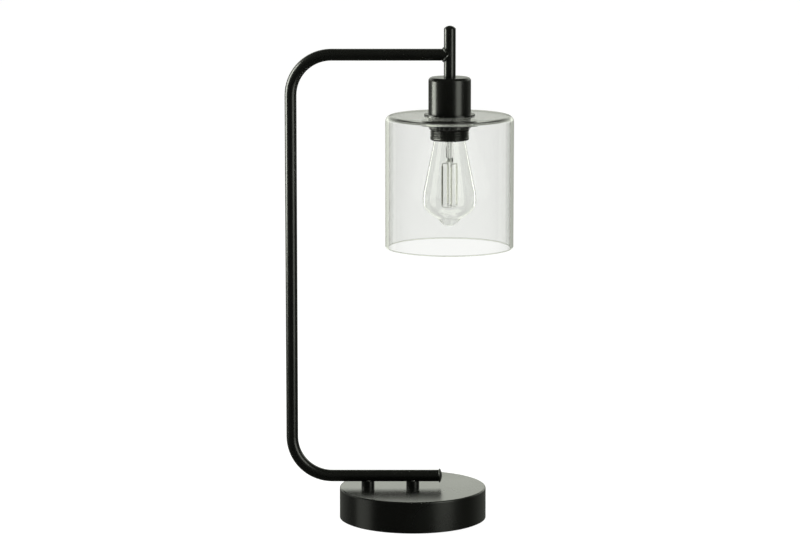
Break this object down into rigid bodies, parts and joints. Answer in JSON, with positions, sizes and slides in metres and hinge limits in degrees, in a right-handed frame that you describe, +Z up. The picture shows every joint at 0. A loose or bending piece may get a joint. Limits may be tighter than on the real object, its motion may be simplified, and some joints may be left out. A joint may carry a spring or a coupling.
{
  "type": "arc table lamp",
  "caption": "Table lamp with a round weighted base, a bent tube arm, a screw-in filament bulb and a clear glass drum shade held under its socket cup by a threaded ring.",
  "frame": {"origin": "centre of the base's foot, on the table", "axes": "+Z up, +X from the post towards the lamp head, +Y towards the back where the cord comes in"},
  "size_m": [0.2315, 0.1521, 0.5059],
  "materials": {
    "black_metal": "satin black powder coat with a fine grain",
    "black_plastic": "moulded black plastic",
    "holder_plastic": "moulded black phenolic",
    "cast_weight": "rough casting",
    "foot_rubber": "soft foam foot",
    "zinc_steel": "zinc plated",
    "terminal_ceramic": "unglazed",
    "brass": "stamped",
    "shade_glass": "clear, blown in a mould",
    "gasket_silicone": "milky silicone",
    "bulb_glass": "clear, blown",
    "bulb_cap_metal": "nickel plated",
    "bulb_insulation": "black glass and potting",
    "filament_coating": "yellow phosphor coating",
    "wire_black": "insulated wire",
    "wire_white": "insulated wire",
    "splice_plastic": "crimp cap"
  },
  "bodies": {
    "stand": {"base_shell": "black_metal", "standoff_left": "black_metal", "standoff_right": "black_metal", "arm_tube": "black_metal", "stem_tube": "black_metal", "stem_finial": "black_metal", "socket_cup": "black_metal", "shade_washer": "black_metal", "arm_end_plug": "black_plastic", "cord_bushing": "black_plastic", "lampholder_cap": "holder_plastic", "lampholder_body": "holder_plastic", "base_weight": "cast_weight", "base_pad": "foot_rubber", "arm_studs": "zinc_steel", "stud_washers": "zinc_steel", "stud_nuts": "zinc_steel", "stem_nipple": "zinc_steel", "cup_lock_washer": "zinc_steel", "cup_nut": "zinc_steel", "terminal_block": "terminal_ceramic", "screw_shell": "brass", "centre_contact": "brass", "terminal_tabs": "brass", "terminal_screws": "brass", "live_wire": "wire_black", "neutral_wire": "wire_white", "wire_splices": "splice_plastic"},
    "shade": {"glass_shade": "shade_glass", "shade_gasket": "gasket_silicone"},
    "ring": {"shade_ring": "black_plastic"},
    "bulb_tip": {"bulb_tip_contact": "bulb_cap_metal"},
    "bulb": {"bulb_envelope": "bulb_glass", "bulb_screw_cap": "bulb_cap_metal", "bulb_insulator": "bulb_insulation", "bulb_glass_mount": "bulb_glass", "bulb_lead_wires": "bulb_cap_metal", "bulb_filaments": "filament_coating", "bulb_link_wires": "bulb_cap_metal", "bulb_driver": "bulb_insulation"}
  },
  "joints": [
    {"name": "shade_lower", "type": "slide", "parent": "stand", "child": "shade", "axis": [0, 0, -1], "range_m": [0, 0.01625]},
    {"name": "ring_turn", "type": "hinge", "parent": "shade", "child": "ring", "pos_m": [0.037, 0, 0.4], "axis": [0, 0, -1], "range_deg": [0, 2342]},
    {"name": "bulb_drop", "type": "slide", "parent": "stand", "child": "bulb_tip", "axis": [0, 0, -1], "range_m": [0, 0.01452]},
    {"name": "bulb_turn", "type": "hinge", "parent": "bulb_tip", "child": "bulb", "pos_m": [0.037, 0, 0.4], "axis": [0, 0, -1], "range_deg": [0, 1442]}
  ],
  "couplings": [
    {"joint": "ring_turn", "follows": "shade_lower", "rad_per_m": 2513.3},
    {"joint": "bulb_turn", "follows": "bulb_drop", "rad_per_m": 1731.4}
  ]
}
